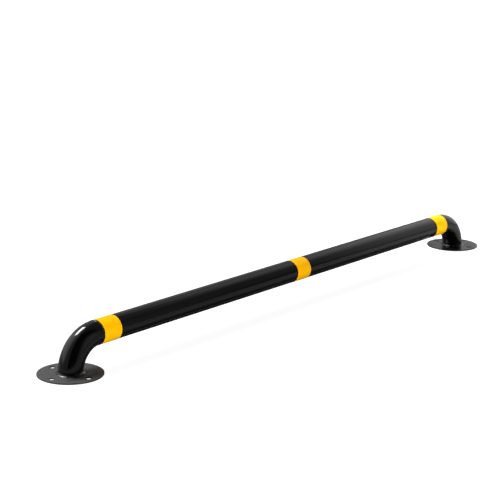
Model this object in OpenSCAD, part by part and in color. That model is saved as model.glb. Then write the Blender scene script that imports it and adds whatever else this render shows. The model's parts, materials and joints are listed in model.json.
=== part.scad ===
// Tubular parking barrier: a low bar of round steel tube, turned down at both ends by
// welded bends that stand on round base plates. Sizes are in millimetres. +Z is up, and
// the bar runs along X. The origin is on the floor, under the middle of the bar.

/* [Overall] */
// Distance between the centres of the two base plates
foot_spacing = 2100; // [1200:10:3000]

/* [Tube] */
// Outer diameter of the bar and of the bends
tube_d = 76.1; // [48:0.1:90]
// Wall thickness of the bar and of the bends
tube_wall = 2.9; // [2:0.1:5]
// Radius of each bend, measured to the middle of the tube
bend_r = 102; // [80:1:160]
// Height by which the foot of each bend is cut short, where it lands on its base plate
foot_trim = 4; // [1:0.5:8]

/* [Base plates] */
// Diameter of each round base plate
plate_d = 198; // [190:1:260]
// Thickness of each base plate
plate_t = 4; // [3:0.5:12]
// Width of the broken edge round each base plate
plate_edge = 0.5; // [0.2:0.1:1]
// Diameter of the anchor holes
hole_d = 18; // [10:0.5:20]
// Distance from the middle of the plate to the middle of each anchor hole
hole_reach = 75; // [70:0.5:82]

/* [Welds] */
// Leg length of the fillet weld round the foot of each bend
foot_weld_leg = 6; // [3:0.5:8]
// Radius of the hollow face of the foot weld
foot_weld_face_r = 10; // [8:0.5:20]
// Width of the bead where a bend meets the bar
seam_w = 6; // [4:0.5:8]
// Height of that bead above the tube
seam_h = 0.8; // [0.4:0.1:1.5]

/* [Warning bands] */
// Width of each yellow band
band_w = 71.5; // [40:0.5:120]
// Thickness of the yellow bands
band_t = 0.4; // [0.2:0.1:1]
// Bare tube between the left seam bead and the left band
left_band_gap = 3; // [0.5:0.5:60]
// Bare tube between the right seam bead and the right band
right_band_gap = 1; // [0.5:0.5:60]
// How far the middle band sits to the right of the middle of the bar
middle_band_shift = 28.5; // [-60:0.5:60]

/* [Hidden] */

// Outer and inner radius of the tube
tube_r = tube_d / 2;
bore_r = tube_r - tube_wall;
// Height of the middle of the bar above the floor: the bends stand on the plates
bar_z = plate_t + bend_r - foot_trim;
// How far each bend reaches outwards, from its seam to the middle of its cut foot
bend_reach = sqrt(pow(bend_r, 2) - pow(foot_trim, 2));
// Each seam's distance from the middle of the bar, and the bar's length between the seams
seam_x = foot_spacing / 2 - bend_reach;
bar_len = 2 * seam_x;
// Directions of the three anchor holes: outwards along the bar, and to both sides of it
hole_turns = [90, 180, 270];
// How far a weld bead's section is carried into the tube before the tube is cut from it
weld_root = 1;
// Allowance by which a cutting solid passes the face that it cuts
cut_over = 1;

black_coat = "#1c1d1f";
amber_yellow = "#ffb400";

// Round parts are drawn with this many facets in a preview
$fn = 120;

// A solid turned round the bar's own axis, with its middle at a place along the bar
module along_bar(x) {
  translate([x, 0, bar_z])
    rotate([0, 90, 0])
      children();
}

// Carries a section round a full quarter turn of the left bend, from the seam downwards
module round_left_bend() {
  translate([-seam_x, 0, bar_z - bend_r])
    rotate([90, 0, 0])
      rotate([0, 0, 90])
        rotate_extrude(angle = 90)
          translate([bend_r, 0])
            children();
}

module crossbar_tube() {
  color(black_coat)
    along_bar(0)
      difference() {
        cylinder(h = bar_len, r = tube_r, center = true);
        cylinder(h = bar_len + 2 * cut_over, r = bore_r, center = true);
      }
}

// The left bend, with its foot cut off flat at the top of the base plate
module elbow() {
  cut_x = -foot_spacing / 2;
  cut_half = tube_r + foot_trim + cut_over;
  color(black_coat)
    difference() {
      round_left_bend()
        difference() {
          circle(r = tube_r);
          circle(r = bore_r);
        }
      translate([cut_x - cut_half, -cut_half, plate_t - foot_trim - cut_over])
        cube([2 * cut_half, 2 * cut_half, foot_trim + cut_over]);
    }
}

// Half section of a base plate: a flat disc with both of its corners broken
module plate_section() {
  plate_r = plate_d / 2;
  polygon([
    [0, 0],
    [plate_r - plate_edge, 0],
    [plate_r, plate_edge],
    [plate_r, plate_t - plate_edge],
    [plate_r - plate_edge, plate_t],
    [0, plate_t]
  ]);
}

module base_plate() {
  color(black_coat)
    translate([-foot_spacing / 2, 0, 0])
      difference() {
        rotate_extrude()
          plate_section();
        for (turn = hole_turns)
          rotate([0, 0, turn])
            translate([hole_reach, 0, -cut_over])
              cylinder(h = plate_t + 2 * cut_over, d = hole_d);
      }
}

// Half section of the foot weld: a corner filled up to a shallow hollow face
module foot_weld_section() {
  face_back = sqrt(pow(foot_weld_face_r, 2) - pow(foot_weld_leg, 2) / 2);
  face_centre = foot_weld_leg / 2 + face_back / sqrt(2);
  difference() {
    translate([tube_r - weld_root, 0])
      square([foot_weld_leg + weld_root, foot_weld_leg]);
    translate([tube_r + face_centre, face_centre])
      circle(r = foot_weld_face_r);
  }
}

// Everything that lies inside the outer skin of the left bend
module left_bend_envelope() {
  round_left_bend()
    circle(r = tube_r);
}

module foot_weld() {
  color(black_coat)
    difference() {
      translate([-foot_spacing / 2, 0, plate_t])
        rotate_extrude()
          foot_weld_section();
      left_bend_envelope();
    }
}

// Half section of a seam bead: a low crown across the joint line
module seam_section() {
  crown_r = (pow(seam_w / 2, 2) + pow(seam_h, 2)) / (2 * seam_h);
  intersection() {
    translate([tube_r + seam_h - crown_r, 0])
      circle(r = crown_r);
    translate([tube_r - weld_root, -seam_w])
      square([weld_root + 2 * seam_h, 2 * seam_w]);
  }
}

module seam_weld() {
  color(black_coat)
    difference() {
      along_bar(-seam_x)
        rotate_extrude()
          seam_section();
      along_bar(-seam_x + seam_w / 2)
        cylinder(h = seam_w, r = tube_r, center = true);
      left_bend_envelope();
    }
}

// A yellow band wrapped round the bar, with its middle at a place along the bar
module band(x) {
  color(amber_yellow)
    along_bar(x)
      difference() {
        cylinder(h = band_w, r = tube_r + band_t, center = true);
        cylinder(h = band_w + 2 * cut_over, r = tube_r, center = true);
      }
}

module left_elbow() elbow();
module right_elbow() mirror([1, 0, 0]) elbow();
module left_base_plate() base_plate();
module right_base_plate() mirror([1, 0, 0]) base_plate();
module left_foot_weld() foot_weld();
module right_foot_weld() mirror([1, 0, 0]) foot_weld();
module left_seam_weld() seam_weld();
module right_seam_weld() mirror([1, 0, 0]) seam_weld();
module left_band() band(-seam_x + seam_w / 2 + left_band_gap + band_w / 2);
module middle_band() band(middle_band_shift);
module right_band() band(seam_x - seam_w / 2 - right_band_gap - band_w / 2);

crossbar_tube();
left_elbow();
right_elbow();
left_base_plate();
right_base_plate();
left_foot_weld();
right_foot_weld();
left_seam_weld();
right_seam_weld();
left_band();
middle_band();
right_band();
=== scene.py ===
"""Looks of a low tubular parking barrier: black powder-coated steel tube with yellow tape bands.

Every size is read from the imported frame, in metres. +Z is up and the bar runs along X.
"""

import json
import logging
import math
from dataclasses import dataclass
from enum import Enum

import bmesh
import bpy
import numpy as np
from mathutils import Matrix, Vector


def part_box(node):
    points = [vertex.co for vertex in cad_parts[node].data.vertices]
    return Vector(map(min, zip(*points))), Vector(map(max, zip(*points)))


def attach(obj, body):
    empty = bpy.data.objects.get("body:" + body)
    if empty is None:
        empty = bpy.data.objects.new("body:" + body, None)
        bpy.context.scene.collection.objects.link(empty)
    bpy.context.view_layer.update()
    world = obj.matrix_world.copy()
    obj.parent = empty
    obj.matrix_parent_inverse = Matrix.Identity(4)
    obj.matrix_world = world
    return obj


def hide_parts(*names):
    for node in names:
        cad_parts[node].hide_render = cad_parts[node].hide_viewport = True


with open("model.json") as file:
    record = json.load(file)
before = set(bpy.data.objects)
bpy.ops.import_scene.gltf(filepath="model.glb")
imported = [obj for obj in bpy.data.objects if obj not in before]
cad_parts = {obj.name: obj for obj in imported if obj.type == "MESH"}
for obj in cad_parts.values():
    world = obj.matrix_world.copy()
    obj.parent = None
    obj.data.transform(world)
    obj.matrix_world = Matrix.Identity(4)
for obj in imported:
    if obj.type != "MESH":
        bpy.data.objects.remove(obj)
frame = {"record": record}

LOG = logging.getLogger("barrier")
BODY = "root"

MM = 0.001
TURN = 2.0 * math.pi
UP = (0.0, 0.0, 1.0)
DOWN = (0.0, 0.0, -1.0)
WHITE = (1.0, 1.0, 1.0, 1.0)

# Wall of the standard steel tube, which the frame's boxes don't show
TUBE_WALL = 2.9 * MM
# Points that lie closer together than this become one, and edges shorter than this go
MERGE_WITHIN = 0.002 * MM
DROP_UNDER = 0.0005 * MM
# Nearly all values of a noise texture lie between these two
NOISE_LOW, NOISE_HIGH = 0.3, 0.7


class Side(Enum):
    """Which end of the bar a piece belongs to. The value is the sign of its place along X."""

    LEFT = -1
    RIGHT = 1

    @property
    def word(self) -> str:
        """The name that the frame's nodes use for this end."""
        return self.name.lower()


@dataclass(frozen=True)
class Span:
    """The lowest and highest corner of one frame node, as arrays in metres."""

    low: np.ndarray
    high: np.ndarray

    @classmethod
    def of(cls, node: str) -> "Span":
        """Reads the box of a frame node at rest."""
        low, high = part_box(node)
        return cls(np.array(low), np.array(high))

    @property
    def middle(self) -> np.ndarray:
        """The middle of the box."""
        return 0.5 * (self.low + self.high)

    @property
    def size(self) -> np.ndarray:
        """The box's length along each axis."""
        return self.high - self.low


def mount(name: str) -> dict:
    """Finds a mount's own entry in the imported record."""
    return next(entry for entry in frame["record"]["mounts"] if entry["name"] == name)


@dataclass(frozen=True)
class BarrierSizes:
    """The driving sizes of the barrier, in metres, worked out from the frame.

    Fields:
        tube_r, bore_r: outer and inner radius of the tube.
        bar_z: height of the bar's middle.
        seam_x, foot_x: distance from the bar's middle to a seam, and to the middle of a base plate.
        bend_r: radius of the bends, to the middle of the tube.
        plate_r, plate_t: radius and thickness of a base plate.
        hole_r, hole_reach: radius of an anchor hole, and its distance from the plate's middle.
        foot_weld_leg: leg length of a foot weld.
        seam_half, seam_height: half the width of a seam bead, and its height above the tube.
        band_skin: thickness of a band.
    """

    tube_r: float
    bore_r: float
    bar_z: float
    seam_x: float
    foot_x: float
    bend_r: float
    plate_r: float
    plate_t: float
    hole_r: float
    hole_reach: float
    foot_weld_leg: float
    seam_half: float
    seam_height: float
    band_skin: float

    @classmethod
    def from_frame(cls) -> "BarrierSizes":
        """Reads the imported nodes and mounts.

        Returns:
            The sizes that every piece is built from.
        """
        tube = Span.of("crossbar_tube")
        plate = Span.of("left_base_plate")
        foot_weld = Span.of("left_foot_weld")
        seam = Span.of("left_seam_weld")
        band = Span.of("middle_band")
        anchors = mount("left_side_anchors")
        tube_r = 0.5 * tube.size[2]
        foot_x = -anchors["pos_m"][0]
        reach = foot_x - tube.high[0]
        rise = tube.middle[2] - plate.high[2]
        return cls(
            tube_r=tube_r,
            bore_r=tube_r - TUBE_WALL,
            bar_z=tube.middle[2],
            seam_x=tube.high[0],
            foot_x=foot_x,
            # The circle through the seam, level there, and through the middle of the cut foot
            bend_r=(reach ** 2 + rise ** 2) / (2.0 * rise),
            plate_r=0.5 * plate.size[0],
            plate_t=plate.high[2],
            hole_r=anchors["dims"]["hole_r_mm"] * MM,
            hole_reach=0.5 * anchors["dims"]["spacing_y_mm"] * MM,
            foot_weld_leg=foot_weld.size[2],
            seam_half=0.5 * seam.size[0],
            seam_height=0.5 * seam.size[2] - tube_r,
            band_skin=0.5 * band.size[2] - tube_r,
        )

    @property
    def foot_trim(self) -> float:
        """Height of the plate's top above the centres of the bends, by which each foot is cut short."""
        return self.plate_t - (self.bar_z - self.bend_r)


@dataclass
class Sheet:
    """A surface on a grid of points, with rows along the first axis and columns along the second.

    Fields:
        points: array of rows by columns by 3, in metres.
        rows_close: the last row joins the first one.
        columns_close: the last column joins the first one.
    """

    points: np.ndarray
    rows_close: bool = False
    columns_close: bool = False

    def quads(self, first: int) -> np.ndarray:
        """Numbers the corners of every cell of the grid.

        Args:
            first: index of this sheet's first point in the whole mesh.

        Returns:
            Array of cells by 4 point indices.
        """
        rows, columns = self.points.shape[:2]
        row = np.arange(rows if self.rows_close else rows - 1)
        column = np.arange(columns if self.columns_close else columns - 1)
        i, j = np.meshgrid(row, column, indexing="ij")
        next_i, next_j = (i + 1) % rows, (j + 1) % columns
        cell = [i * columns + j, next_i * columns + j, next_i * columns + next_j, i * columns + next_j]
        return first + np.stack([corner.ravel() for corner in cell], axis=1)


def put_in_scene(name: str, data: bpy.types.ID) -> bpy.types.Object:
    """Makes an object that holds a mesh, a lamp or a camera.

    Args:
        name: the object's name.
        data: what it holds.

    Returns:
        The new object, linked to the scene.
    """
    item = bpy.data.objects.new(name, data)
    bpy.context.scene.collection.objects.link(item)
    return item


def make_piece(name: str, sheets: list[Sheet], crease_deg: float = 40.0) -> bpy.types.Object:
    """Joins sheets into one closed mesh object that stands at the origin.

    Args:
        name: the object's name.
        sheets: grids of points whose edges meet.
        crease_deg: edges that turn by more than this stay sharp.

    Returns:
        The new object, linked to the scene.
    """
    starts = np.cumsum([0] + [sheet.points.shape[0] * sheet.points.shape[1] for sheet in sheets])
    points = np.concatenate([sheet.points.reshape(-1, 3) for sheet in sheets])
    quads = np.concatenate([sheet.quads(int(start)) for sheet, start in zip(sheets, starts)])
    mesh = bpy.data.meshes.new(name)
    mesh.from_pydata(points.tolist(), [], quads.tolist())
    shell = bmesh.new()
    shell.from_mesh(mesh)
    bmesh.ops.remove_doubles(shell, verts=shell.verts, dist=MERGE_WITHIN)
    bmesh.ops.dissolve_degenerate(shell, edges=shell.edges, dist=DROP_UNDER)
    bmesh.ops.recalc_face_normals(shell, faces=shell.faces)
    shell.to_mesh(mesh)
    shell.free()
    mesh.shade_smooth()
    mesh.set_sharp_from_angle(angle=math.radians(crease_deg))
    return put_in_scene(name, mesh)


def arc(centre: tuple[float, float], radius: float, start_deg: float, end_deg: float,
        count: int) -> np.ndarray:
    """Points on a circular arc: centre plus radius times cosine and sine of an evenly stepped angle.

    Args:
        centre: the arc's centre in its own plane.
        radius: the arc's radius.
        start_deg: angle of the first point.
        end_deg: angle of the last point.
        count: number of points.

    Returns:
        Array of count by 2.
    """
    angle = np.radians(np.linspace(start_deg, end_deg, count))
    return np.stack([centre[0] + radius * np.cos(angle), centre[1] + radius * np.sin(angle)], axis=1)


def ring_angles(count: int) -> np.ndarray:
    """Evenly stepped angles of one whole turn, in radians, without the repeat of the first."""
    return np.arange(count) * (TURN / count)


def round_the_bar(x: np.ndarray, radius: np.ndarray, angles: np.ndarray, bar_z: float) -> np.ndarray:
    """Turns a profile round the bar's axis: (x, r cos a, bar height + r sin a).

    Args:
        x: places along the bar, one per row, or an array that spreads over rows and columns.
        radius: distances from the bar's axis, given in the same way.
        angles: angle of each column, from +Y towards +Z.
        bar_z: height of the bar's axis.

    Returns:
        Array of rows by columns by 3.
    """
    if x.ndim == 1:
        x, radius = x[:, None], radius[:, None]
    x, radius, angles = np.broadcast_arrays(x, radius, angles)
    return np.stack([x, radius * np.cos(angles), bar_z + radius * np.sin(angles)], axis=-1)


def srgb(hex_code: str) -> tuple[float, float, float, float]:
    """Turns an sRGB hex colour into a linear one.

    Args:
        hex_code: six hex digits after a hash sign.

    Returns:
        Linear red, green, blue and an alpha of 1.
    """
    channel = np.array([int(hex_code[i:i + 2], 16) for i in (1, 3, 5)]) / 255.0
    linear = np.where(channel <= 0.04045, channel / 12.92, ((channel + 0.055) / 1.055) ** 2.4)
    return (*linear.tolist(), 1.0)


def add_node(tree: bpy.types.NodeTree, kind: str, settings: dict | None = None,
             inputs: dict | None = None) -> bpy.types.Node:
    """Adds one shader node with its settings, and sets or links its inputs.

    Args:
        tree: the node tree.
        kind: Blender's name for the node's type.
        settings: attributes of the node itself.
        inputs: socket name or index, with a value, or with an output socket to link from.

    Returns:
        The new node.
    """
    node = tree.nodes.new(kind)
    for name, value in (settings or {}).items():
        setattr(node, name, value)
    for key, value in (inputs or {}).items():
        if isinstance(value, bpy.types.NodeSocket):
            tree.links.new(value, node.inputs[key])
        else:
            node.inputs[key].default_value = value
    return node


def empty_tree(owner: bpy.types.Material | bpy.types.World) -> bpy.types.NodeTree:
    """Makes a material or the world use nodes, and clears the ones that Blender starts it with.

    Args:
        owner: the material or the world.

    Returns:
        Its empty node tree.
    """
    owner.use_nodes = True
    owner.node_tree.nodes.clear()
    return owner.node_tree


@dataclass(frozen=True)
class GlossBlackPowderCoat:
    """Polyester powder, sprayed on dry and baked to a glossy jet-black skin about 80 microns thick.

    The melt levels out but never quite flat, so the eye sees sharp reflections with a faint
    orange-peel waver, and hardly any colour of its own.

    Fields:
        name, colour, ior, roughness, specular: as Blender's shader takes them, the colour in sRGB.
        spread: share of the roughness in the glossiest cloud and in the dullest one.
        peel_mm, peel_depth_mm: width and height of the orange peel's bumps.
        cloud_mm: width of the clouds in the gloss.
    """

    name: str = "gloss_black_powder_coat"
    colour: str = "#040405"
    ior: float = 1.5
    roughness: float = 0.09
    specular: float = 0.5
    spread: tuple[float, float] = (0.8, 1.3)
    peel_mm: float = 2.6
    peel_depth_mm: float = 0.006
    cloud_mm: float = 90.0

    def build(self) -> bpy.types.Material:
        """Makes the material.

        Returns:
            A procedural material on object coordinates.
        """
        material = bpy.data.materials.new(self.name)
        tree = empty_tree(material)
        place = add_node(tree, "ShaderNodeTexCoord").outputs["Object"]
        # Orange peel: soft bumps a few millimetres across
        peel = add_node(tree, "ShaderNodeTexNoise", {},
                        {"Vector": place, "Scale": 1.0 / (self.peel_mm * MM), "Detail": 1.0,
                         "Roughness": 0.4})
        bump = add_node(tree, "ShaderNodeBump", {},
                        {"Height": peel.outputs["Fac"], "Strength": 1.0, "Distance": self.peel_depth_mm * MM})
        # Slow clouds in the gloss, where the coat is a little thicker or thinner
        cloud = add_node(tree, "ShaderNodeTexNoise", {},
                         {"Vector": place, "Scale": 1.0 / (self.cloud_mm * MM), "Detail": 3.0})
        gloss = add_node(tree, "ShaderNodeMapRange", {},
                         {"Value": cloud.outputs["Fac"], "From Min": NOISE_LOW, "From Max": NOISE_HIGH,
                          "To Min": self.spread[0] * self.roughness,
                          "To Max": self.spread[1] * self.roughness})
        coat = add_node(tree, "ShaderNodeBsdfPrincipled", {},
                        {"Base Color": srgb(self.colour), "IOR": self.ior,
                         "Specular IOR Level": self.specular, "Roughness": gloss.outputs["Result"],
                         "Normal": bump.outputs["Normal"]})
        add_node(tree, "ShaderNodeOutputMaterial", {}, {"Surface": coat.outputs["BSDF"]})
        return material


@dataclass(frozen=True)
class SatinBlackPowderCoat(GlossBlackPowderCoat):
    """The same powder laid thinner on the flat plates, where it bakes to a satin skin with a fine grain.

    The eye sees a soft grey sheen in place of sharp reflections, with small clouds a finger's width across.
    """

    name: str = "satin_black_powder_coat"
    colour: str = "#161617"
    roughness: float = 0.52
    specular: float = 1.0
    peel_mm: float = 1.2
    peel_depth_mm: float = 0.02
    cloud_mm: float = 14.0


@dataclass(frozen=True)
class ShadedSatinBlackPowderCoat(SatinBlackPowderCoat):
    """A darker, less rough copy of the satin coat, for the right plate only: painted shade. Its darker colour
    stands in for the shade of the bend on the plate in front of its foot.

    The eye sees the dark foot of the bend mirrored softly in it.
    """

    name: str = "shaded_satin_black_powder_coat"
    colour: str = "#0a0a0b"
    roughness: float = 0.26
    specular: float = 0.58


@dataclass(frozen=True)
class AmberReflectiveTape:
    """Glass-bead reflective vinyl tape in traffic amber, with a clear glossy face.

    The beads give the colour a fine salt-like grain, and the clear face a faint sheen over it.

    Fields:
        name, ior, roughness, specular: as Blender's shader takes them.
        colour, pale: sRGB colours between the beads and on them.
        bead_mm: size of the beads as drawn. Real ones are 0.05 mm across, too fine for any view.
        grain, grain_mm: strength and height of the bumps that the beads make.
    """

    name: str = "amber_reflective_tape"
    colour: str = "#fbb002"
    pale: str = "#ffbc04"
    ior: float = 1.5
    roughness: float = 0.3
    specular: float = 0.05
    bead_mm: float = 0.6
    grain: float = 0.25
    grain_mm: float = 0.02

    def build(self) -> bpy.types.Material:
        """Makes the material.

        Returns:
            A procedural material on object coordinates.
        """
        material = bpy.data.materials.new(self.name)
        tree = empty_tree(material)
        place = add_node(tree, "ShaderNodeTexCoord").outputs["Object"]
        # The beads, in the colour and as bumps in the face
        beads = add_node(tree, "ShaderNodeTexNoise", {},
                         {"Vector": place, "Scale": 1.0 / (self.bead_mm * MM), "Detail": 2.0})
        tone = add_node(tree, "ShaderNodeMix", {"data_type": "RGBA"},
                        {"Factor": beads.outputs["Fac"], "A": srgb(self.colour), "B": srgb(self.pale)})
        grain = add_node(tree, "ShaderNodeBump", {},
                         {"Height": beads.outputs["Fac"], "Strength": self.grain,
                          "Distance": self.grain_mm * MM})
        face = add_node(tree, "ShaderNodeBsdfPrincipled", {},
                        {"Base Color": tone.outputs["Result"], "IOR": self.ior,
                         "Specular IOR Level": self.specular, "Roughness": self.roughness,
                         "Normal": grain.outputs["Normal"]})
        add_node(tree, "ShaderNodeOutputMaterial", {}, {"Surface": face.outputs["BSDF"]})
        return material


@dataclass
class Crossbar:
    """The straight bar: a hollow tube between the two seams.

    Fields:
        around, along: points round the tube and along it.
    """

    sizes: BarrierSizes
    around: int = 192
    along: int = 96

    def build(self) -> bpy.types.Object:
        """Builds the tube's outside, its bore and its two end rings.

        Returns:
            The bar.
        """
        s = self.sizes
        x = np.linspace(-s.seam_x, s.seam_x, self.along)
        angles = ring_angles(self.around)
        ends = [np.array([end, end]) for end in (-s.seam_x, s.seam_x)]
        wall = np.array([s.tube_r, s.bore_r])
        sheets = [
            Sheet(round_the_bar(x, np.full_like(x, s.tube_r), angles, s.bar_z), columns_close=True),
            Sheet(round_the_bar(x[[0, -1]], np.full(2, s.bore_r), angles, s.bar_z), columns_close=True),
        ]
        sheets += [Sheet(round_the_bar(end, wall, angles, s.bar_z), columns_close=True) for end in ends]
        return make_piece("crossbar", sheets)


@dataclass
class CornerBend:
    """A quarter bend of the same tube, from a seam down to a base plate.

    Fields:
        around, along: points round the tube and along the bend.
    """

    sizes: BarrierSizes
    side: Side
    around: int = 160
    along: int = 96

    def sweep(self, radius: float, shares: np.ndarray, angles: np.ndarray) -> np.ndarray:
        """Carries a circle of a radius round the bend.

        The bend's circle lies in the XZ plane. A point is the bend's centre plus (bend radius + r cos a)
        along the spoke at the turn's angle, plus r sin a along Y. Each line along the bend starts at the
        turn whose sine times its reach is the foot's trim, so that the foot ends flat on the plate.

        Args:
            radius: radius of the carried circle.
            shares: places along the bend, 0 at the plate and 1 at the seam.
            angles: angles round the carried circle.

        Returns:
            Array of shares by angles by 3.
        """
        s = self.sizes
        share, angle = np.meshgrid(shares, angles, indexing="ij")
        reach = s.bend_r + radius * np.cos(angle)
        first = np.arcsin(s.foot_trim / reach)
        turn = first + share * (TURN / 4.0 - first)
        x = self.side.value * (s.seam_x + reach * np.cos(turn))
        return np.stack([x, radius * np.sin(angle), s.bar_z - s.bend_r + reach * np.sin(turn)], axis=-1)

    def build(self) -> bpy.types.Object:
        """Builds the bend's outside, its bore and its two end rings.

        Returns:
            The bend.
        """
        s = self.sizes
        shares = np.linspace(0.0, 1.0, self.along)
        angles = ring_angles(self.around)
        outside = self.sweep(s.tube_r, shares, angles)
        bore = self.sweep(s.bore_r, shares, angles)
        sheets = [Sheet(outside, columns_close=True), Sheet(bore, columns_close=True)]
        sheets += [Sheet(np.stack([outside[end], bore[end]]), columns_close=True) for end in (0, -1)]
        return make_piece(f"{self.side.word}_bend", sheets)


class Wall(Enum):
    """Which upright wall of a base plate is meant. The value is the way that it faces, 1 for outwards."""

    RIM = 1
    HOLE = -1


@dataclass
class BasePlate:
    """A round steel plate with three anchor holes and softened edges.

    Each of its faces is made of four quarters, one round each hole and a bare one on the inward side.

    Fields:
        edge_r, hole_edge_r: radius of the softened edges of the rim and of the holes.
        steps: points along the outline of one quarter's arc.
        rings: rings of points between a hole and the outline of its quarter.
        corner_steps: points round each softened edge.
        crease_deg: edges that turn by more than this stay sharp.
        hole_turns, bare_turn: directions of the quarters, from the outward end of the bar.
    """

    sizes: BarrierSizes
    side: Side
    edge_r: float = 0.5 * MM
    hole_edge_r: float = 0.25 * MM
    steps: int = 48
    rings: int = 6
    corner_steps: int = 6
    crease_deg: float = 50.0
    hole_turns: tuple[float, ...] = (0.0, TURN / 4.0, -TURN / 4.0)
    bare_turn: float = TURN / 2.0

    @property
    def hole(self) -> np.ndarray:
        """The middle of a quarter's hole, in the quarter's own plan, with +X outwards."""
        return np.array([self.sizes.hole_reach, 0.0])

    def swing(self) -> np.ndarray:
        """Evenly stepped angles from an eighth of a turn before a quarter's middle to an eighth after."""
        return np.linspace(-TURN / 8.0, TURN / 8.0, self.steps)

    def quarter(self) -> tuple[np.ndarray, np.ndarray]:
        """Lays out one quarter of a flat face, in its own plan.

        The outline is an arc that ends where the rim's softened edge starts, closed by straight lines to
        the plate's middle and back. A way is the step from the hole's middle to the outline, divided by
        its own length.

        Returns:
            The points of the outline, and the way from the middle of the hole to each of them.
        """
        swing = self.swing()
        rim = (self.sizes.plate_r - self.edge_r) * np.stack([np.cos(swing), np.sin(swing)], axis=1)
        spoke = np.linspace(0.0, 1.0, self.steps // 2)[1:, None]
        outline = np.concatenate([rim, rim[-1] * (1.0 - spoke), rim[0] * spoke[:-1]])
        step = outline - self.hole
        return outline, step / np.linalg.norm(step, axis=1, keepdims=True)

    def place(self, flat: np.ndarray, turn: float, height: float | np.ndarray) -> np.ndarray:
        """Turns plan points about the plate's middle and moves them to this end of the bar.

        Args:
            flat: array ending in 2, in the quarter's own plan, with +X outwards.
            turn: the quarter's direction.
            height: height of the points, one for all or one for each row.

        Returns:
            Array ending in 3, in the row's frame.
        """
        c, d = math.cos(turn), math.sin(turn)
        out = flat[..., 0] * c - flat[..., 1] * d
        across = flat[..., 0] * d + flat[..., 1] * c
        x = self.side.value * (self.sizes.foot_x + out)
        return np.stack([x, across, np.broadcast_to(height, x.shape)], axis=-1)

    def face(self, turn: float, height: float) -> Sheet:
        """One quarter of a flat face: straight lines from the hole's rim out to the quarter's outline.

        Args:
            turn: direction of the quarter's middle.
            height: height of the face.

        Returns:
            The quarter, round its hole, or as a fan where there is no hole.
        """
        outline, way = self.quarter()
        lip_r = 0.0 if turn == self.bare_turn else self.sizes.hole_r + self.hole_edge_r
        inner = self.hole + lip_r * way
        share = np.linspace(0.0, 1.0, self.rings)[:, None, None]
        flat = inner * (1.0 - share) + outline * share
        return Sheet(self.place(flat, turn, height), columns_close=True)

    def edge_profile(self, wall: Wall, radius: float, round_r: float) -> np.ndarray:
        """Half section of an upright wall with both corners rounded, from the bottom to the top.

        Args:
            wall: the rim or a hole's wall.
            radius: radius of the wall.
            round_r: radius of its rounded corners.

        Returns:
            Array of points by 2: radius and height.
        """
        low = arc((0.0, round_r), round_r, -90.0, 0.0, self.corner_steps)
        high = arc((0.0, self.sizes.plate_t - round_r), round_r, 0.0, 90.0, self.corner_steps)
        section = np.concatenate([low, high])
        section[:, 0] = radius + wall.value * (section[:, 0] - round_r)
        return section

    def hole_wall(self, turn: float) -> Sheet:
        """The wall of one anchor hole: its section, turned round the hole's axis.

        Args:
            turn: direction of the hole from the plate's middle.

        Returns:
            The wall with its rounded lips.
        """
        section = self.edge_profile(Wall.HOLE, self.sizes.hole_r, self.hole_edge_r)
        _, way = self.quarter()
        flat = self.hole + section[:, None, :1] * way[None]
        return Sheet(self.place(flat, turn, section[:, 1:]), columns_close=True)

    def rim(self) -> Sheet:
        """The plate's outer edge: its section, turned round the plate's axis in the faces' own steps.

        Returns:
            The edge with its rounded corners.
        """
        section = self.edge_profile(Wall.RIM, self.sizes.plate_r, self.edge_r)
        angles = np.concatenate([self.swing()[:-1] + turn for turn in ring_angles(4)])
        flat = section[:, None, :1] * np.stack([np.cos(angles), np.sin(angles)], axis=1)[None]
        return Sheet(self.place(flat, 0.0, section[:, 1:]), columns_close=True)

    def build(self) -> bpy.types.Object:
        """Builds both faces, the rim and the hole walls.

        Returns:
            The plate.
        """
        turns = (*self.hole_turns, self.bare_turn)
        sheets = [self.rim()]
        sheets += [self.face(turn, height) for turn in turns for height in (0.0, self.sizes.plate_t)]
        sheets += [self.hole_wall(turn) for turn in self.hole_turns]
        return make_piece(f"{self.side.word}_plate", sheets, self.crease_deg)


@dataclass(frozen=True)
class Scallops:
    """The stacked scallops of a hand-laid weld bead.

    Fields:
        count: scallops in a whole turn of the bead.
        depth: depth of the valleys between them.
        bow: how far the valleys lag towards the bead's edges, like the pool that froze there.
        strays: slow waves that make the spacing uneven, each with its strength, its number in a turn
            and its start.
    """

    count: int
    depth: float
    bow: float = 0.9
    strays: tuple[tuple[float, float, float], ...] = ((0.35, 3.0, 0.0), (0.2, 7.0, 1.3))

    def dip(self, angle: np.ndarray, across: np.ndarray) -> np.ndarray:
        """How far the bead lies below its smooth face.

        Each scallop is the absolute value of a sine, so it has a round crown and a sharp valley. The dip
        is the depth times one minus that value, and fades out towards the edges as one minus across
        squared.

        Args:
            angle: place along the bead, in radians.
            across: place across the bead, from -1 to 1.

        Returns:
            Array of the same shape as angle and across together.
        """
        phase = 0.5 * self.count * angle + self.bow * across ** 2
        for strength, waves, start in self.strays:
            phase = phase + strength * np.sin(waves * angle + start)
        return self.depth * (1.0 - across ** 2) * (1.0 - np.abs(np.sin(phase)))


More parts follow.
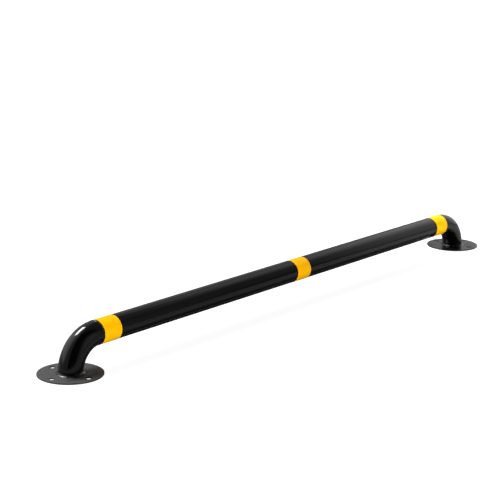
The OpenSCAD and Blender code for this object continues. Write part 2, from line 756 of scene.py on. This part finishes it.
@dataclass
class FootWeld:
    """The fillet weld between a bend's foot and its base plate.

    Fields:
        scallops: the bead's ripples.
        sag: depth of the hollow face, as a share of the leg.
        root: how far the bead reaches into the tube's wall.
        around, across: points round the bead and over its face.
        crease_deg: edges that turn by more than this stay sharp.
    """

    sizes: BarrierSizes
    side: Side
    scallops: Scallops = Scallops(84, 0.22 * MM)
    sag: float = 0.16
    root: float = 0.5 * MM
    around: int = 1008
    across: int = 14
    crease_deg: float = 70.0

    def build(self) -> bpy.types.Object:
        """Builds the bead: its hollow face, closed by its root and its underside.

        The face is the straight line from the toe on the plate to the toe on the tube, moved back at
        right angles by the sag, which is a parabola, and by the dip of the scallops.

        Returns:
            The weld.
        """
        s, side = self.sizes, self.side.value
        leg = s.foot_weld_leg
        angles = ring_angles(self.around)
        share = np.linspace(0.0, 1.0, self.across)[:, None]
        across = 2.0 * share - 1.0
        sag = self.sag * leg * (1.0 - across ** 2)
        back = (self.scallops.dip(angles, across) + sag) / math.sqrt(2.0)
        face_r = s.tube_r + (leg * (1.0 - share) - back)
        height = leg * share - back
        # The bend leans inwards as it rises, so the bead's inner edge follows the bend's own skin
        foot = side * s.foot_x
        foot_reach = math.sqrt(s.bend_r ** 2 - s.foot_trim ** 2)
        lean = side * (foot_reach - np.sqrt(s.bend_r ** 2 - (s.foot_trim + height) ** 2))
        x = foot - lean + side * face_r * np.cos(angles)
        face = np.stack([x, face_r * np.sin(angles), s.plate_t + height], axis=-1)
        root_r = s.tube_r - self.root
        root_x = foot + side * root_r * np.cos(angles)
        root_y = root_r * np.sin(angles)
        top = np.stack([root_x - lean[-1], root_y, face[-1, :, 2]], axis=-1)
        bottom = np.stack([root_x, root_y, np.full_like(angles, s.plate_t)], axis=-1)
        loop = Sheet(np.concatenate([face, np.stack([top, bottom])]), rows_close=True, columns_close=True)
        return make_piece(f"{self.side.word}_foot_bead", [loop], self.crease_deg)


@dataclass
class SeamWeld:
    """The low bead round the tube where a bend meets the bar.

    Fields:
        scallops: the bead's ripples.
        root: how far the bead reaches into the tube's wall.
        toe: how far its edges lie below the tube's skin, so that no gap shows.
        around, across: points round the bead and over its face.
        crease_deg: edges that turn by more than this stay sharp.
    """

    sizes: BarrierSizes
    side: Side
    scallops: Scallops = Scallops(96, 0.1 * MM)
    root: float = 0.5 * MM
    toe: float = 0.05 * MM
    around: int = 1152
    across: int = 14
    crease_deg: float = 70.0

    def build(self) -> bpy.types.Object:
        """Builds the bead: its crowned face, closed by its root.

        The face is a parabola across the joint, less the dip of the scallops, turned round the bar.

        Returns:
            The weld.
        """
        s = self.sizes
        angles = ring_angles(self.around)
        across = np.linspace(-1.0, 1.0, self.across)[:, None]
        crown = (s.seam_height + self.toe) * (1.0 - across ** 2)
        radius = s.tube_r - self.toe + crown - self.scallops.dip(angles, across)
        x = self.side.value * (s.seam_x + s.seam_half * across)
        face = round_the_bar(x, radius, angles, s.bar_z)
        root = round_the_bar(x[[-1, 0]], np.full((2, 1), s.tube_r - self.root), angles, s.bar_z)
        loop = Sheet(np.concatenate([face, root]), rows_close=True, columns_close=True)
        return make_piece(f"{self.side.word}_seam_bead", [loop], self.crease_deg)


@dataclass
class TapeBand:
    """One turn of reflective tape round the bar.

    Fields:
        node: the band's node in the frame.
        around: points round the bar.
        corner, corner_steps: radius of the tape's rounded corners, and points round each.
        crease_deg: edges that turn by more than this stay sharp.
    """

    sizes: BarrierSizes
    node: str
    around: int = 192
    corner: float = 0.15 * MM
    corner_steps: int = 5
    crease_deg: float = 50.0

    def build(self) -> bpy.types.Object:
        """Builds the tape: its section with two rounded corners, turned once round the bar.

        Returns:
            The band.
        """
        s = self.sizes
        span = Span.of(self.node)
        low, high = span.low[0], span.high[0]
        corner_r = s.tube_r + s.band_skin - self.corner
        left = arc((low + self.corner, corner_r), self.corner, 180.0, 90.0, self.corner_steps)
        right = arc((high - self.corner, corner_r), self.corner, 90.0, 0.0, self.corner_steps)
        under = np.array([[high, s.tube_r], [low, s.tube_r]])
        section = np.concatenate([left, right, under])
        points = round_the_bar(section[:, 0], section[:, 1], ring_angles(self.around), s.bar_z)
        loop = Sheet(points, rows_close=True, columns_close=True)
        return make_piece(f"{self.node}_tape", [loop], self.crease_deg)


@dataclass(frozen=True)
class SoftBox:
    """A flat lamp with an even face, set by the brightness of that face.

    Fields:
        name: the lamp's name.
        place, aim: where it hangs, and the point that it faces.
        width, height: size of its face.
        radiance: brightness of its face.
        grid_deg: angle of the grid before it, which narrows its light.
        in_reflections: whether mirrors show it.
    """

    name: str
    place: tuple[float, float, float]
    aim: tuple[float, float, float]
    width: float
    height: float
    radiance: float
    grid_deg: float = 180.0
    in_reflections: bool = True

    def build(self) -> bpy.types.Object:
        """Adds the lamp, with its power worked out as radiance times pi times its area.

        Returns:
            The lamp.
        """
        lamp = bpy.data.lights.new(self.name, "AREA")
        lamp.shape = "RECTANGLE"
        lamp.size = self.width
        lamp.size_y = self.height
        lamp.energy = self.radiance * math.pi * self.width * self.height
        lamp.spread = math.radians(self.grid_deg)
        item = put_in_scene(self.name, lamp)
        item.location = self.place
        item.rotation_euler = (Vector(self.aim) - Vector(self.place)).to_track_quat("-Z", "Y").to_euler()
        item.visible_camera = False
        item.visible_glossy = self.in_reflections
        return item


def compass(azimuth_deg: float) -> tuple[float, float, float]:
    """A level unit vector, with its angle counted from +Y towards +X."""
    return (math.sin(math.radians(azimuth_deg)), math.cos(math.radians(azimuth_deg)), 0.0)


@dataclass(frozen=True)
class SoftEdge:
    """One soft border of a bright patch of the room.

    Along the axis, the patch starts at a cosine and is at its full level one width further on.
    """

    axis: tuple[float, float, float]
    start: float
    width: float

    def build(self, tree: bpy.types.NodeTree, way: bpy.types.NodeSocket) -> bpy.types.NodeSocket:
        """Adds the nodes of this border.

        Args:
            tree: the world's node tree.
            way: socket that gives the direction looked at.

        Returns:
            Socket that goes from 0 outside to 1 inside.
        """
        along = add_node(tree, "ShaderNodeVectorMath", {"operation": "DOT_PRODUCT"}, {0: way, 1: self.axis})
        ramp = add_node(tree, "ShaderNodeMapRange", {"interpolation_type": "SMOOTHSTEP"},
                        {"Value": along.outputs["Value"], "From Min": self.start,
                         "From Max": self.start + self.width})
        return ramp.outputs["Result"]


# The foot of the room's walls, where their light fades out
FLOOR_LINE = SoftEdge(UP, -0.05, 0.4)


@dataclass(frozen=True)
class BrightPatch:
    """A part of the room that is brighter than the rest, such as a lit wall or a large diffuser.

    Fields:
        level: brightness inside all of its borders.
        edges: its borders.
    """

    level: float
    edges: tuple[SoftEdge, ...]

    def build(self, tree: bpy.types.NodeTree, way: bpy.types.NodeSocket) -> bpy.types.NodeSocket:
        """Multiplies the patch's level by all of its borders.

        Args:
            tree: the world's node tree.
            way: socket that gives the direction looked at.

        Returns:
            Socket with the patch's brightness.
        """
        light = self.level
        for edge in self.edges:
            light = add_node(tree, "ShaderNodeMath", {"operation": "MULTIPLY"},
                             {0: light, 1: edge.build(tree, way)}).outputs[0]
        return light


@dataclass(frozen=True)
class PaleMattFloor:
    """Matt grey paper that the camera sees lifted to white, with painted shade that mirrors alone see.

    The eye sees a plain white ground with soft shadows. Under the bar and behind it, the paper turns black
    for mirrors alone. This is painted shade that stands in for the bar's shadow there, and it gives the bar
    its dark lower edge.

    Fields:
        colour, painted_shade_colour: sRGB colours of the paper, and of the painted shade that mirrors see
            under the bar.
        near_lift, far_lift: light added for the camera, near the barrier and far from it.
        lift_from, lift_to: distances at which the near lift ends and the far one starts.
        mirror_lift: light added for mirrors.
        painted_shade_end: how far the painted shade reaches along X, both ways.
        painted_shade_front, painted_shade_back: where it starts and ends along Y.
        painted_shade_soft: width of its soft edges.
    """

    name: str = "pale_matt_floor"
    colour: str = "#7b7b7b"
    painted_shade_colour: str = "#000000"
    near_lift: float = 0.945
    far_lift: float = 1.04
    lift_from: float = 1.6
    lift_to: float = 4.0
    mirror_lift: float = 0.01
    painted_shade_end: float = 0.90
    painted_shade_front: float = -0.035
    painted_shade_back: float = 0.25
    painted_shade_soft: float = 0.03

    def painted_shade(self, tree: bpy.types.NodeTree, place: bpy.types.NodeSocket,
             glossy: bpy.types.NodeSocket) -> bpy.types.NodeSocket:
        """Adds the outline of the painted shade: the product of three soft edges, for mirrors alone.

        Args:
            tree: the floor's node tree.
            place: socket with the place on the floor.
            glossy: socket that is 1 for mirrors.

        Returns:
            Socket that is 1 in the painted shade and 0 beside it.
        """
        axes = add_node(tree, "ShaderNodeSeparateXYZ", {}, {0: place})
        along = add_node(tree, "ShaderNodeMath", {"operation": "ABSOLUTE"}, {0: axes.outputs["X"]})
        edges = ((along.outputs[0], self.painted_shade_end + self.painted_shade_soft, self.painted_shade_end),
                 (axes.outputs["Y"], self.painted_shade_front, self.painted_shade_front + self.painted_shade_soft),
                 (axes.outputs["Y"], self.painted_shade_back + self.painted_shade_soft, self.painted_shade_back))
        share = glossy
        for value, outside, inside in edges:
            edge = add_node(tree, "ShaderNodeMapRange", {"interpolation_type": "SMOOTHSTEP"},
                            {"Value": value, "From Min": outside, "From Max": inside})
            share = add_node(tree, "ShaderNodeMath", {"operation": "MULTIPLY"},
                             {0: share, 1: edge.outputs["Result"]}).outputs[0]
        return share

    def lift(self, tree: bpy.types.NodeTree, place: bpy.types.NodeSocket,
             paths: bpy.types.Node) -> bpy.types.NodeSocket:
        """Adds the light that lifts the floor, by its distance for the camera and evenly for mirrors.

        Args:
            tree: the floor's node tree.
            place: socket with the place on the floor.
            paths: the Light Path node.

        Returns:
            Socket with the strength of the added light.
        """
        away = add_node(tree, "ShaderNodeVectorMath", {"operation": "LENGTH"}, {0: place})
        white = add_node(tree, "ShaderNodeMapRange", {"interpolation_type": "SMOOTHSTEP"},
                         {"Value": away.outputs["Value"], "From Min": self.lift_from,
                          "From Max": self.lift_to, "To Min": self.near_lift, "To Max": self.far_lift})
        seen = add_node(tree, "ShaderNodeMath", {"operation": "MULTIPLY"},
                        {0: paths.outputs["Is Camera Ray"], 1: white.outputs["Result"]})
        mirrored = add_node(tree, "ShaderNodeMath", {"operation": "MAXIMUM"},
                            {0: paths.outputs["Is Glossy Ray"], 1: paths.outputs["Is Transmission Ray"]})
        both = add_node(tree, "ShaderNodeMath", {"operation": "MULTIPLY_ADD"},
                        {0: mirrored.outputs[0], 1: self.mirror_lift, 2: seen.outputs[0]})
        return both.outputs[0]

    def build(self) -> bpy.types.Material:
        """Makes the material. A camera below the floor looks through it at the plates' undersides.

        Returns:
            A procedural material on object coordinates.
        """
        material = bpy.data.materials.new(self.name)
        tree = empty_tree(material)
        place = add_node(tree, "ShaderNodeTexCoord").outputs["Object"]
        paths = add_node(tree, "ShaderNodeLightPath")
        # Painted shade: under the bar and behind it the paper turns black for mirrors alone, in place of the
        # bar's shadow
        tint = add_node(tree, "ShaderNodeMix", {"data_type": "RGBA"},
                        {"Factor": self.painted_shade(tree, place, paths.outputs["Is Glossy Ray"]),
                         "A": srgb(self.colour), "B": srgb(self.painted_shade_colour)})
        matt = add_node(tree, "ShaderNodeBsdfDiffuse", {}, {"Color": tint.outputs["Result"]})
        glow = add_node(tree, "ShaderNodeEmission", {},
                        {"Color": WHITE, "Strength": self.lift(tree, place, paths)})
        both = add_node(tree, "ShaderNodeAddShader", {}, {0: matt.outputs[0], 1: glow.outputs[0]})
        side = add_node(tree, "ShaderNodeNewGeometry")
        below = add_node(tree, "ShaderNodeMath", {"operation": "MULTIPLY"},
                         {0: paths.outputs["Is Camera Ray"], 1: side.outputs["Backfacing"]})
        clear = add_node(tree, "ShaderNodeBsdfTransparent")
        sheet = add_node(tree, "ShaderNodeMixShader", {},
                         {0: below.outputs[0], 1: both.outputs[0], 2: clear.outputs[0]})
        add_node(tree, "ShaderNodeOutputMaterial", {}, {"Surface": sheet.outputs[0]})
        return material


@dataclass
class Studio:
    """A pale floor in a dim room with a lit back wall, large diffusers to the right and soft lamps.

    Fields:
        paper: finish of the floor.
        floor_half: distance from the barrier to the floor's edges.
        floor_gap: how far the floor lies below the plates.
        patches: bright parts of the room, which mirrors show.
        lamps: lamps, which light everything.
    """

    paper: PaleMattFloor = PaleMattFloor()
    floor_half: float = 60.0
    floor_gap: float = 0.1 * MM
    patches: tuple[BrightPatch, ...] = (
        # Dim ceiling and walls, which end where the dark side of the room begins, behind the camera
        BrightPatch(0.111, (SoftEdge(compass(45.0), -0.15, 0.2), FLOOR_LINE)),
        # Lit wall behind the bar
        BrightPatch(0.265, (SoftEdge(compass(-25.0), 0.0, 0.243), SoftEdge(compass(20.0), -0.1, 0.3),
                            FLOOR_LINE)),
        # Tall diffuser to the right of the bar
        BrightPatch(0.385, (SoftEdge(compass(143.6), 0.0, 0.328), SoftEdge(compass(28.4), 0.0, 0.48),
                            SoftEdge(DOWN, -0.7226, 0.0554))),
        # Bright panel beyond the right end, which the far half of the bar looks into
        BrightPatch(0.55, (SoftEdge(compass(90.0), 0.765, 0.075), SoftEdge(compass(144.7), 0.0, 0.1277))),
        # Wall to the left, which the near bend looks into, with a bright screen high up on it
        BrightPatch(0.22, (SoftEdge(compass(340.0), 0.0, 0.15), SoftEdge(compass(300.0), -0.15, 0.4))),
        BrightPatch(0.47, (SoftEdge((-0.383, 0.821, 0.423), 0.78, 0.12), SoftEdge(UP, 0.05, 0.2))),
        # Faint light from the front
        BrightPatch(0.34, (SoftEdge(compass(180.0), 0.593, 0.3), SoftEdge(compass(100.0), -0.15, 0.7))),
    )
    lamps: tuple[SoftBox, ...] = (
        SoftBox("key_light", (-0.78, 1.65, 2.35), (-0.9, 0.0, 0.12), 1.2, 1.15, 17.0,
                in_reflections=False),
        SoftBox("key_diffuser", (-0.78, 1.6, 2.5), (-1.03, 0.0, 0.12), 1.15, 0.85, 20.0),
        SoftBox("front_fill", (-1.5, -3.6, 0.3), (0.0, 0.0, 0.1), 3.0, 1.2, 19.0, in_reflections=False),
        SoftBox("right_key", (2.1, 1.5, 2.3), (1.9, -0.2, 0.0), 1.0, 1.0, 13.0, 65.0,
                in_reflections=False),
        SoftBox("right_fill", (1.5, -1.3, 0.8), (1.0, 0.0, 0.1), 0.5, 0.5, 1.1, 36.0,
                in_reflections=False),
    )

    def floor(self) -> bpy.types.Object:
        """Lays the floor: one square, a hair's breadth below the plates.

        Returns:
            The floor, which is stage and no part of the barrier.
        """
        h, z = self.floor_half, -self.floor_gap
        mesh = bpy.data.meshes.new("floor")
        mesh.from_pydata([(-h, -h, z), (h, -h, z), (h, h, z), (-h, h, z)], [], [(0, 1, 2, 3)])
        mesh.materials.append(self.paper.build())
        item = put_in_scene("floor", mesh)
        return item

    def room(self) -> bpy.types.World:
        """Sets the world: the dim room as the sum of its bright patches, and white for the camera.

        Returns:
            The world.
        """
        world = bpy.data.worlds.new("studio_room")
        tree = empty_tree(world)
        way = add_node(tree, "ShaderNodeTexCoord").outputs["Generated"]
        level = 0.0
        for patch in self.patches:
            level = add_node(tree, "ShaderNodeMath", {"operation": "ADD"},
                             {0: level, 1: patch.build(tree, way)}).outputs[0]
        # The camera sees a white backdrop above the floor's edge, and mirrors see the room
        paths = add_node(tree, "ShaderNodeLightPath")
        shown = add_node(tree, "ShaderNodeMath", {"operation": "MAXIMUM"},
                         {0: level, 1: paths.outputs["Is Camera Ray"]})
        light = add_node(tree, "ShaderNodeBackground", {}, {"Color": WHITE, "Strength": shown.outputs[0]})
        add_node(tree, "ShaderNodeOutputWorld", {}, {"Surface": light.outputs[0]})
        # The lamps alone light matt surfaces, which keeps the floor's shadows deep
        world.cycles_visibility.diffuse = False
        bpy.context.scene.world = world
        return world

    def build(self) -> None:
        """Sets up the floor, the room and the lamps."""
        self.floor()
        self.room()
        for lamp in self.lamps:
            lamp.build()
        bpy.context.scene.view_settings.view_transform = "Standard"


@dataclass(frozen=True)
class ProductCamera:
    """The camera at the photo's viewing angle.

    Fields:
        azimuth_deg, tilt_deg, roll_deg: its direction from +Y towards +X, how far it looks down, and its
            turn about its own axis.
        right, below, ahead: where it sees the frame's origin, in metres along its own axes.
        focal_px, image_px: focal length and image side in the photo's pixels.
        sensor_mm: side of the sensor.
        sight: distance up to which it sees.
    """

    azimuth_deg: float = 51.026
    tilt_deg: float = 14.145
    roll_deg: float = -0.765
    right: float = 0.1386
    below: float = 0.1713
    ahead: float = 5.2132
    focal_px: float = 1513.83
    image_px: float = 500.0
    sensor_mm: float = 36.0
    sight: float = 200.0

    def build(self) -> bpy.types.Object:
        """Adds the camera and makes it the scene's own.

        Returns:
            The camera.
        """
        yaw, tilt, roll = (math.radians(a) for a in (self.azimuth_deg, self.tilt_deg, self.roll_deg))
        ahead = Vector((math.sin(yaw) * math.cos(tilt), math.cos(yaw) * math.cos(tilt), -math.sin(tilt)))
        level = Vector((math.cos(yaw), -math.sin(yaw), 0.0))
        down = ahead.cross(level)
        right = math.cos(roll) * level + math.sin(roll) * down
        below = math.cos(roll) * down - math.sin(roll) * level
        place = -(self.right * right + self.below * below + self.ahead * ahead)
        data = bpy.data.cameras.new("photo_camera")
        data.sensor_width = self.sensor_mm
        data.lens = self.focal_px / self.image_px * self.sensor_mm
        data.clip_end = self.sight
        item = put_in_scene("photo_camera", data)
        turn = Matrix((right, -below, -ahead)).transposed().to_4x4()
        item.matrix_world = Matrix.Translation(place) @ turn
        bpy.context.scene.camera = item
        return item


def settle(piece: bpy.types.Object, node: str, finish: bpy.types.Material) -> None:
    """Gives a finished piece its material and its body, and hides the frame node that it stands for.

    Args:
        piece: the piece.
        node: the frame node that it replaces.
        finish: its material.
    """
    piece.data.materials.clear()
    piece.data.materials.append(finish)
    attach(piece, BODY)
    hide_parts(node)
    LOG.info("%s stands for %s with %d faces", piece.name, node, len(piece.data.polygons))


def main() -> None:
    """Builds the camera, the studio and every piece in order."""
    logging.basicConfig(level=logging.INFO, format="%(name)s: %(message)s")
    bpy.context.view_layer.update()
    sizes = BarrierSizes.from_frame()
    ProductCamera().build()
    Studio().build()
    coat = GlossBlackPowderCoat().build()
    # The right plate takes a darker copy of the satin coat: painted shade in front of its bend's foot
    satins = {Side.LEFT: SatinBlackPowderCoat().build(), Side.RIGHT: ShadedSatinBlackPowderCoat().build()}
    tape = AmberReflectiveTape().build()
    settle(Crossbar(sizes).build(), "crossbar_tube", coat)
    for side in Side:
        settle(CornerBend(sizes, side).build(), f"{side.word}_elbow", coat)
        settle(BasePlate(sizes, side).build(), f"{side.word}_base_plate", satins[side])
        settle(FootWeld(sizes, side).build(), f"{side.word}_foot_weld", coat)
        settle(SeamWeld(sizes, side).build(), f"{side.word}_seam_weld", coat)
    for node in ("left_band", "middle_band", "right_band"):
        settle(TapeBand(sizes, node).build(), node, tape)


if __name__ == "__main__":
    main()
